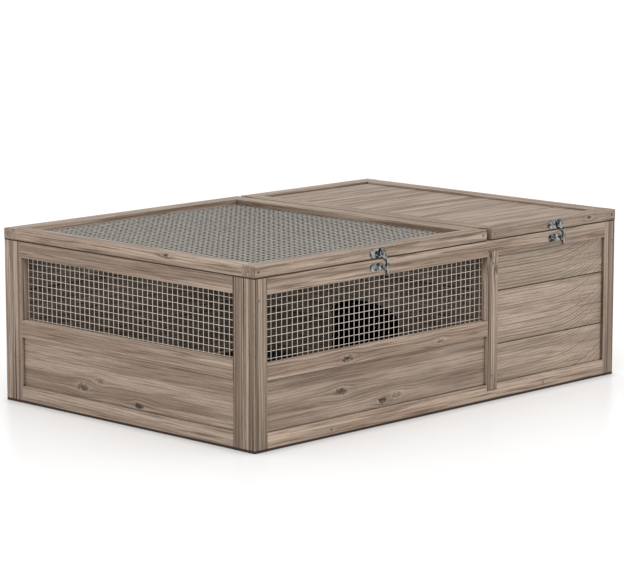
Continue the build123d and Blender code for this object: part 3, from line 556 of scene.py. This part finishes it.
def blackTray():
    # polypropylene sheet, vacuum formed: near black, satin, with a fine leathery grain
    material, tree, surface = newMaterial("vacuum formed black polypropylene")
    place = add(tree, "ShaderNodeTexCoord").outputs["Object"]
    grain = add(tree, noise, place, named={"Scale": trayLook["grain"], "Detail": 2.0})
    dust = add(tree, noise, place, named={"Scale": trayLook["dust"], "Detail": 5.0})
    dustMask = add(tree, remap, dust, *trayLook["dustEdge"])
    colour = add(tree, mix, dustMask, linear(trayLook["clean"]), linear(trayLook["dusty"]), data_type="RGBA")
    bump = add(tree, "ShaderNodeBump",
               named={"Strength": 0.4, "Distance": trayLook["grainRelief"], "Height": grain})
    connect(tree, surface, colour, add(tree, remap, dust, *trayLook["rough"]), bump)
    return material


wire = galvanisedWire(*finishes["wire"])
shadedLidWire = galvanisedWire(*finishes["shadedLidWire"])
zinc = zincPlate(*finishes["zinc"])
screwZinc = zincPlate(*finishes["screwZinc"])
trayPlastic = blackTray()
plywood = planedFir("rotary cut plywood", "floor_panel", flatWise, **plywoodLook)
setMaterial(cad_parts["floor_panel"], plywood)
for node in ("run_tray", "hide_tray"):
    setMaterial(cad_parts[node], trayPlastic)
for node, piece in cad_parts.items():
    if node not in timbers and not node.endswith("_tray") and node != "floor_panel":
        setMaterial(piece, zinc)


# Geometry Nodes trees for what repeats

def newTree(name, sockets):
    tree = bpy.data.node_groups.new(name, "GeometryNodeTree")
    tree.interface.new_socket("Geometry", in_out="INPUT", socket_type="NodeSocketGeometry")
    for label, kind in sockets.items():
        tree.interface.new_socket(label, in_out="INPUT", socket_type="NodeSocket" + kind)
    tree.interface.new_socket("Geometry", in_out="OUTPUT", socket_type="NodeSocketGeometry")
    return tree, add(tree, "NodeGroupInput")


def closeTree(tree, geometry, material):
    plain = add(tree, "GeometryNodeRealizeInstances", geometry)
    shown = add(tree, "GeometryNodeSetMaterial", plain, named={"Material": material})
    add(tree, "NodeGroupOutput", shown)


def grow(tree, values, points=()):
    # the mesh that a tree makes from these named inputs, around a host with the given points
    hostMesh = bpy.data.meshes.new("host")
    hostMesh.from_pydata([tuple(point) for point in points], [], [])
    host = stand("host", hostMesh)
    modifier = host.modifiers.new("tree", "NODES")
    modifier.node_group = tree
    for item in tree.interface.items_tree:
        if item.name in values:
            modifier[item.identifier] = values[item.name]
    return evaluatedMesh(host, tree.name)


def weldedMeshTree():
    # two layers of straight wires that cross at a fixed pitch and stray a little, as welded panels do
    tree, given = newTree("welded wire mesh", {
        "Long": "Float", "High": "Float", "Pitch": "Float", "Wire": "Float",
        "First Upright": "Float", "First Level": "Float", "Stray": "Float", "Material": "Material"})
    value = given.outputs
    layers = []
    for first, reach, crossing, side in (
            ("First Upright", "Long", "High", -0.5), ("First Level", "High", "Long", 0.5)):
        room = add(tree, calc, value[reach], value[first], operation="SUBTRACT")
        room = add(tree, calc, room, value["Pitch"], operation="DIVIDE")
        count = add(tree, calc, add(tree, calc, room, operation="FLOOR"), 1.0)
        lift = add(tree, calc, value["Wire"], side, operation="MULTIPLY")
        if reach == "Long":
            start = add(tree, join, value[first], 0.0, lift)
            step = add(tree, join, value["Pitch"], 0.0, 0.0)
            end = add(tree, join, 0.0, value[crossing], 0.0)
        else:
            start = add(tree, join, 0.0, value[first], lift)
            step = add(tree, join, 0.0, value["Pitch"], 0.0)
            end = add(tree, join, value[crossing], 0.0, 0.0)
        places = add(tree, "GeometryNodeMeshLine", mode="OFFSET",
                     named={"Count": count, "Start Location": start, "Offset": step})
        straight = add(tree, "GeometryNodeCurvePrimitiveLine", (0.0, 0.0, 0.0), end)
        wires = add(tree, "GeometryNodeInstanceOnPoints", named={"Points": places, "Instance": straight})
        layers.append(wires)
    both = add(tree, "GeometryNodeJoinGeometry", layers[0])
    tree.links.new(layers[1].outputs[0], both.inputs[0])
    curves = add(tree, "GeometryNodeRealizeInstances", both)
    steps = add(tree, "GeometryNodeResampleCurve", named={"Curve": curves, "Length": value["Pitch"]},
                mode="LENGTH")
    drift = add(tree, noise, add(tree, "GeometryNodeInputPosition"),
                named={"Scale": meshPanels["strayScale"], "Detail": 1.0})
    drift = add(tree, vector, drift.outputs["Color"], (0.5, 0.5, 0.5), operation="SUBTRACT")
    drift = add(tree, vector, drift, named={"Scale": value["Stray"]}, operation="SCALE")
    bowed = add(tree, "GeometryNodeSetPosition", named={"Geometry": steps, "Offset": drift})
    thick = add(tree, calc, value["Wire"], 0.5, operation="MULTIPLY")
    ring = add(tree, "GeometryNodeCurvePrimitiveCircle",
               named={"Resolution": meshPanels["wireSides"], "Radius": thick})
    solid = add(tree, "GeometryNodeCurveToMesh",
                named={"Curve": bowed, "Profile Curve": ring, "Fill Caps": True})
    smooth = add(tree, "GeometryNodeSetShadeSmooth", solid)
    closeTree(tree, smooth, value["Material"])
    return tree


def fastenerTree():
    # one fastener at each point of the host, facing one way, each turned by its own chance
    tree, given = newTree("fasteners at points", {
        "Fastener": "Object", "Facing": "Rotation", "Turn": "Float", "Seed": "Int", "Material": "Material"})
    value = given.outputs
    master = add(tree, "GeometryNodeObjectInfo", named={"Object": value["Fastener"], "As Instance": True})
    chance = add(tree, "FunctionNodeRandomValue", named={"Seed": value["Seed"]}, data_type="FLOAT")
    angle = add(tree, calc, chance.outputs[1], value["Turn"], operation="MULTIPLY")
    spin = add(tree, "FunctionNodeAxisAngleToRotation", (0.0, 0.0, 1.0), angle)
    turned = add(tree, "FunctionNodeRotateRotation", value["Facing"], spin, rotation_space="LOCAL")
    placed = add(tree, "GeometryNodeInstanceOnPoints", named={
        "Points": value["Geometry"], "Instance": master.outputs["Geometry"], "Rotation": turned})
    closeTree(tree, placed, value["Material"])
    return tree


# Welded mesh panels in their real 12.7 mm squares, and the staples that hold them

meshPanels = {
    "wire": 1.0,  # mm
    "wireSides": 6,
    "pitch": 12.7,
    "stray": 0.5,  # mm that a wire bows aside
    "strayScale": 22.0,  # per metre, so that it bows about every 45 mm
    "panels": {
        # node: body, direction of its length and of its height, first upright and first level in mm
        "front_mesh": ("box", (1, 0, 0), (0, 0, 1), 6.7, 12.5),
        "left_mesh": ("box", (0, -1, 0), (0, 0, 1), 9.0, 9.5),
        "left_lid_mesh": ("left_lid", (1, 0, 0), (0, 1, 0), 7.0, 7.5),
    },
}
stapleSet = {
    # seen from the side, in mm: the crown lies on z = 0 and the legs go down
    "outline": [(-5.0, -7.0), (-5.0, 0.6), (5.0, 0.6), (5.0, -7.0),
                (4.3, -7.0), (4.3, 0.0), (-4.3, 0.0), (-4.3, -7.0)],
    "thick": 1.2,
    "every": 76.2,
    "inset": 3.6,
    "turn": 0.5,  # radians that a staple is turned at most
    "seed": 7,
}


def panelFrame(node, longWay, highWay):
    # a matrix whose x runs along the panel, y up it and z out of it, and the panel's length and height
    low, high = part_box(node)
    longAxis, highAxis = Vector(longWay), Vector(highWay)
    outAxis = longAxis.cross(highAxis)
    inward = longAxis + highAxis - outAxis
    corner = Vector([low[axis] if inward[axis] > 0 else high[axis] for axis in range(3)])
    turn = Matrix((longAxis, highAxis, outAxis)).transposed().to_4x4()
    size = high - low
    return Matrix.Translation(corner) @ turn, abs(size.dot(longAxis)), abs(size.dot(highAxis))


def joinedMesh(parts):
    # joins meshes of one material each into one mesh
    whole = bmesh.new()
    joined = bpy.data.meshes.new("joined")
    for order, part in enumerate(parts):
        already = len(whole.faces)
        whole.from_mesh(part)
        whole.faces.ensure_lookup_table()
        for face in whole.faces[already:]:
            face.material_index = order
        joined.materials.append(next(material for material in part.materials if material))
    whole.to_mesh(joined)
    whole.free()
    return joined


def stapleMaster():
    # a crown and two legs of flattened wire
    thick = stapleSet["thick"]
    shape = bmesh.new()
    front = [shape.verts.new((x * mm, -thick / 2 * mm, z * mm)) for x, z in stapleSet["outline"]]
    shape.faces.new(front)
    made = bmesh.ops.extrude_face_region(shape, geom=shape.faces[:])
    moved = [item for item in made["geom"] if isinstance(item, bmesh.types.BMVert)]
    bmesh.ops.translate(shape, verts=moved, vec=(0, thick * mm, 0))
    bmesh.ops.recalc_face_normals(shape, faces=shape.faces)
    return stand("staple", toMesh(shape, "staple"))


panelTree = weldedMeshTree()
pinTree = fastenerTree()
staple = stapleMaster()
for node, (body, longWay, highWay, firstUpright, firstLevel) in meshPanels["panels"].items():
    place, long, high = panelFrame(node, longWay, highWay)
    wires = grow(panelTree, {
        "Long": long, "High": high, "Pitch": meshPanels["pitch"] * mm, "Wire": meshPanels["wire"] * mm,
        "First Upright": firstUpright * mm, "First Level": firstLevel * mm,
        "Stray": meshPanels["stray"] * mm, "Material": shadedLidWire if body == "left_lid" else wire})
    wires.transform(place)
    addPiece(node.replace("mesh", "wires"), wires, body, [node])

    inset = stapleSet["inset"] * mm
    behind = -meshPanels["wire"] * mm
    rows = {0: [], 1: []}
    for span, cross, way in ((long, high, 0), (high, long, 1)):
        count = max(2, round(span / (stapleSet["every"] * mm)))
        for step in range(count):
            near = (step + 0.5) * span / count
            for edge in (inset, cross - inset):
                rows[way].append((near, edge, behind) if way == 0 else (edge, near, behind))
    staples = []
    for way, points in rows.items():
        facing = Euler((math.pi, 0.0, math.pi / 2 * way))
        staples.append(grow(pinTree, {
            "Fastener": staple, "Facing": facing, "Turn": stapleSet["turn"],
            "Seed": stapleSet["seed"] + way, "Material": zinc}, points))
    stapleMesh = joinedMesh(staples)
    stapleMesh.transform(place)
    addPiece(node.replace("mesh", "staples"), stapleMesh, body)
print("mesh panels and staples made")


# Screws with cross recesses, in the places that the frame gives

screwShapes = {
    # profiles from the middle of the head to the tip, in mm from the face that carries the head
    "countersunk": [(0.0, -0.4), (2.5, -0.4), (2.75, -0.55), (2.7, -0.75), (1.65, -1.9), (1.65, -12.0),
                    (0.0, -14.0)],
    "domed": [(0.0, 3.0), (1.6, 2.85), (3.2, 2.3), (4.6, 1.4), (5.6, 0.5), (5.95, 0.12), (5.95, 0.0),
              (1.7, 0.0), (1.7, -12.0), (0.0, -14.0)],
    "recess": {"countersunk": (3.6, 0.95, 1.7), "domed": (6.0, 1.25, 2.0)},  # length, width, depth
    "recessFoot": 0.3,  # length at the bottom of a recess, as a share of that at its top
    "cutterAbove": 0.5,  # mm that the cutter stands over the head
    "sides": 28,
    "sharpFrom": 35.0,  # degrees
    "domeHeight": 3.0,
    "domedFrom": 4.5,  # a head wider than this, measured from its middle, is domed
    "turn": 3.1,  # radians that a screw is turned at most
    "seed": 11,
    "sets": {"frame_screws": "box", "hardware_screws": "box", "left_lid_screws": "left_lid",
             "right_lid_screws": "right_lid"},
}


def screwMaster(kind):
    sides = screwShapes["sides"]
    shape = bmesh.new()
    rings = []
    for radius, height in screwShapes[kind]:
        if radius == 0:
            rings.append([shape.verts.new((0, 0, height * mm))])
            continue
        angles = [2 * math.pi * step / sides for step in range(sides)]
        rings.append([shape.verts.new((radius * mm * math.cos(a), radius * mm * math.sin(a), height * mm))
                      for a in angles])
    for upper, lower in zip(rings, rings[1:]):
        for step in range(sides):
            corners = [upper[step % len(upper)], lower[step % len(lower)], lower[(step + 1) % len(lower)],
                       upper[(step + 1) % len(upper)]]
            shape.faces.new(list(dict.fromkeys(corners)))
    bmesh.ops.recalc_face_normals(shape, faces=shape.faces)
    body = toMesh(shape, kind + " screw")
    body.shade_smooth()
    body.set_sharp_from_angle(angle=math.radians(screwShapes["sharpFrom"]))
    screw = stand(kind + "_screw", body)

    long, wide, depth = screwShapes["recess"][kind]
    headTop = screwShapes[kind][0][1]
    for turn in (0.0, math.pi / 2):
        cutter = bmesh.new()
        bmesh.ops.create_cube(cutter, size=1.0)
        for vert in cutter.verts:
            top, narrow = ((headTop + screwShapes["cutterAbove"], 1.0) if vert.co.z > 0
                           else (headTop - depth, screwShapes["recessFoot"]))
            vert.co = Vector((vert.co.x * long * narrow, vert.co.y * wide, top)) * mm
        bmesh.ops.rotate(cutter, verts=cutter.verts, cent=(0, 0, 0), matrix=Matrix.Rotation(turn, 3, "Z"))
        tool = stand("blade", toMesh(cutter, "blade"))
        cut = screw.modifiers.new("recess", "BOOLEAN")
        cut.object = tool
        cut.operation = "DIFFERENCE"
        cut.solver = "EXACT"
        bpy.context.view_layer.update()
        recessed = bpy.data.meshes.new_from_object(screw.evaluated_get(bpy.context.evaluated_depsgraph_get()))
        screw.modifiers.clear()
        screw.data = recessed
        bpy.data.objects.remove(tool)
    return screw


def looseSolids(node):
    # the separate solids of a CAD node, each as its lowest and highest corner
    shape = mergedCopy(node)
    waiting = set(shape.verts)
    boxes = []
    while waiting:
        edge = [waiting.pop()]
        found = list(edge)
        while edge:
            for link in edge.pop().link_edges:
                for vert in link.verts:
                    if vert in waiting:
                        waiting.remove(vert)
                        edge.append(vert)
                        found.append(vert)
        boxes.append([Vector([pick(vert.co[axis] for vert in found) for axis in range(3)])
                      for pick in (min, max)])
    shape.free()
    return boxes


def setScrews(node, body, seed):
    groups = {}
    for low, high in looseSolids(node):
        atFront = low.y + high.y < 0
        domed = (high.x - low.x) / 2 > screwShapes["domedFrom"] * mm
        seat = low.y if atFront else high.y
        if domed:
            seat += screwShapes["domeHeight"] * mm * (1 if atFront else -1)
        groups.setdefault(("domed" if domed else "countersunk", atFront), []).append(
            ((low.x + high.x) / 2, seat, (low.z + high.z) / 2))
    sets = []
    for (kind, atFront), places in sorted(groups.items()):
        facing = Euler((math.pi / 2 * (1 if atFront else -1), 0.0, 0.0))
        sets.append(grow(pinTree, {
            "Fastener": screws[kind], "Facing": facing, "Turn": screwShapes["turn"], "Seed": seed,
            "Material": zinc if kind == "domed" else screwZinc}, sorted(places)))
    addPiece(node + "_with_recesses", joinedMesh(sets), body, [node])


screws = {kind: screwMaster(kind) for kind in ("countersunk", "domed")}
for order, (node, body) in enumerate(screwShapes["sets"].items()):
    setScrews(node, body, screwShapes["seed"] + order)
for master in [staple, *screws.values()]:
    bpy.data.objects.remove(master)
print("screws set")


# Stamped and drawn hardware: the CAD shapes with their rims rounded over

rims = {
    "segments": 2,
    "roundFrom": 50.0,  # degrees between two faces whose edge is rounded over
    "sharpFrom": 38.0,
    "flatWithin": 1.0,
    "trays": 0.5,  # mm, as are the widths of the rims below
    "hardware": {
        "left_latch_plate": ("left_lid", 0.4), "right_latch_plate": ("right_lid", 0.4),
        "left_latch_keeper": ("box", 0.35), "right_latch_keeper": ("box", 0.35),
        "left_hook": ("left_hook", 0.6), "right_hook": ("right_hook", 0.6),
        "hinge_base_leaves": ("box", 0.3), "left_lid_hinge_leaves": ("left_lid", 0.3),
        "right_lid_hinge_leaves": ("right_lid", 0.3),
    },
}


def rounded(node, body, material, width):
    shape = mergedCopy(node)
    bmesh.ops.dissolve_limit(shape, angle_limit=math.radians(rims["flatWithin"]), verts=shape.verts,
                             edges=shape.edges)
    host = stand("host", toMesh(shape, node))
    rim = host.modifiers.new("rim", "BEVEL")
    rim.width = width * mm
    rim.segments = rims["segments"]
    rim.limit_method = "ANGLE"
    rim.angle_limit = math.radians(rims["roundFrom"])
    soft = evaluatedMesh(host, node)
    soft.shade_smooth()
    soft.set_sharp_from_angle(angle=math.radians(rims["sharpFrom"]))
    setMaterial(addPiece(node + "_rounded", soft, body, [node]), material)


for node, (body, width) in rims["hardware"].items():
    rounded(node, body, zinc, width)
for node in ("run_tray", "hide_tray"):
    rounded(node, "box", trayPlastic, rims["trays"])
print("hardware and trays rounded")


# Floor, lamps and camera

studio = {
    "sky": 0.72,
    "floorGlow": 0.39,
    "floorShade": ((0.36, 0.1), (0.03, 0.24)),  # reach in m and depth of the painted shadow by the foot
    "floorShut": 0.5,  # open share of the sky at which that shade is full
    "floorWhite": 0.9,
    "floorBounce": 0.8,  # grey that the floor shows to the object
    "floorGloss": 0.15,
    "glossRough": 0.25,
    "floorReach": 30,  # m to each side
}
lamps = {
    # place, target, width in m and power in W
    "key": ((-2.6, -2.2, 2.9), (0.0, 0.0, 0.15), 1.6, 26.0),
    "fill": ((2.4, -3.0, 1.6), (0.1, -0.1, 0.15), 2.0, 9.0),
    "glint": ((-1.9, -2.6, 1.7), (0.1, -0.3, 0.28), 0.2, 2.4),  # small, for highlights on the hardware
}
view = {
    "place": (-3.7620, -3.6462, 1.0730),
    "azimuth": 45.816,  # degrees from +Y towards +X
    "down": 9.608,
    "focal": 2858.4,  # pixels
    "width": 625,
    "sensor": 36.0,  # mm
    "reach": 100.0,  # m
}


def directRay(tree):
    # 1 where the camera looks, also by a reflection or through something clear
    path = add(tree, "ShaderNodeLightPath")
    seen = add(tree, calc, path.outputs["Is Camera Ray"], path.outputs["Is Glossy Ray"], operation="MAXIMUM")
    return add(tree, calc, seen, path.outputs["Is Transmission Ray"], operation="MAXIMUM")


def studioFloor():
    # glossy white board: it shows a faint mirror image and a painted shadow, thin under the rails
    material, tree, _ = newMaterial("white glossy board")
    output = tree.nodes["Material Output"]
    plain = add(tree, "ShaderNodeBsdfDiffuse", [studio["floorBounce"]] * 3 + [1.0])
    matt = add(tree, "ShaderNodeBsdfDiffuse", [studio["floorWhite"]] * 3 + [1.0])
    glow = add(tree, "ShaderNodeEmission", (1.0, 1.0, 1.0, 1.0), studio["floorGlow"])
    seen = add(tree, "ShaderNodeAddShader", matt, glow)
    shade = 0.0
    # painted shadow: near the object the floor fades towards black, by how much of the sky it sees
    for reach, depth in studio["floorShade"]:
        paintedNookShade = add(tree, "ShaderNodeAmbientOcclusion", samples=8, named={"Distance": reach})
        near = add(tree, remap, paintedNookShade.outputs["AO"], studio["floorShut"], 1.0, depth, 0.0)
        shade = add(tree, calc, near, shade, operation="ADD")
    dim = add(tree, "ShaderNodeEmission", (0.0, 0.0, 0.0, 1.0), 0.0)
    seen = add(tree, "ShaderNodeMixShader", shade, seen, dim)
    gloss = add(tree, "ShaderNodeBsdfAnisotropic", (1.0, 1.0, 1.0, 1.0), studio["glossRough"])
    seen = add(tree, "ShaderNodeMixShader", studio["floorGloss"], seen, gloss)
    final = add(tree, "ShaderNodeMixShader", directRay(tree), plain, seen)
    tree.links.new(final.outputs[0], output.inputs["Surface"])
    return material


reach = studio["floorReach"]
floorMesh = bpy.data.meshes.new("studio floor")
floorMesh.from_pydata([(-reach, -reach, 0), (reach, -reach, 0), (reach, reach, 0), (-reach, reach, 0)], [],
                      [(0, 1, 2, 3)])
floor = stand("studio_floor", floorMesh)
setMaterial(floor, studioFloor())

world = bpy.data.worlds.new("studio")
world.use_nodes = True
bpy.context.scene.world = world
sky = world.node_tree
sky.nodes.clear()
strength = add(sky, remap, directRay(sky), 0.0, 1.0, studio["sky"], 1.0)
background = add(sky, "ShaderNodeBackground", (1.0, 1.0, 1.0, 1.0), strength)
add(sky, "ShaderNodeOutputWorld", background)

for name, (place, target, size, power) in lamps.items():
    lamp = bpy.data.lights.new(name, "AREA")
    lamp.shape = "DISK"
    lamp.size = size
    lamp.energy = power
    holder = stand(name, lamp)
    holder.location = place
    holder.rotation_euler = (Vector(target) - Vector(place)).to_track_quat("-Z", "Y").to_euler()

cameraData = bpy.data.cameras.new("camera")
cameraData.sensor_width = view["sensor"]
cameraData.lens = view["focal"] / view["width"] * cameraData.sensor_width
cameraData.clip_end = view["reach"]
camera = stand("camera", cameraData)
camera.location = view["place"]
camera.rotation_euler = Euler((math.radians(90 - view["down"]), 0.0, -math.radians(view["azimuth"])))
bpy.context.scene.camera = camera
bpy.context.scene.view_settings.view_transform = "Standard"
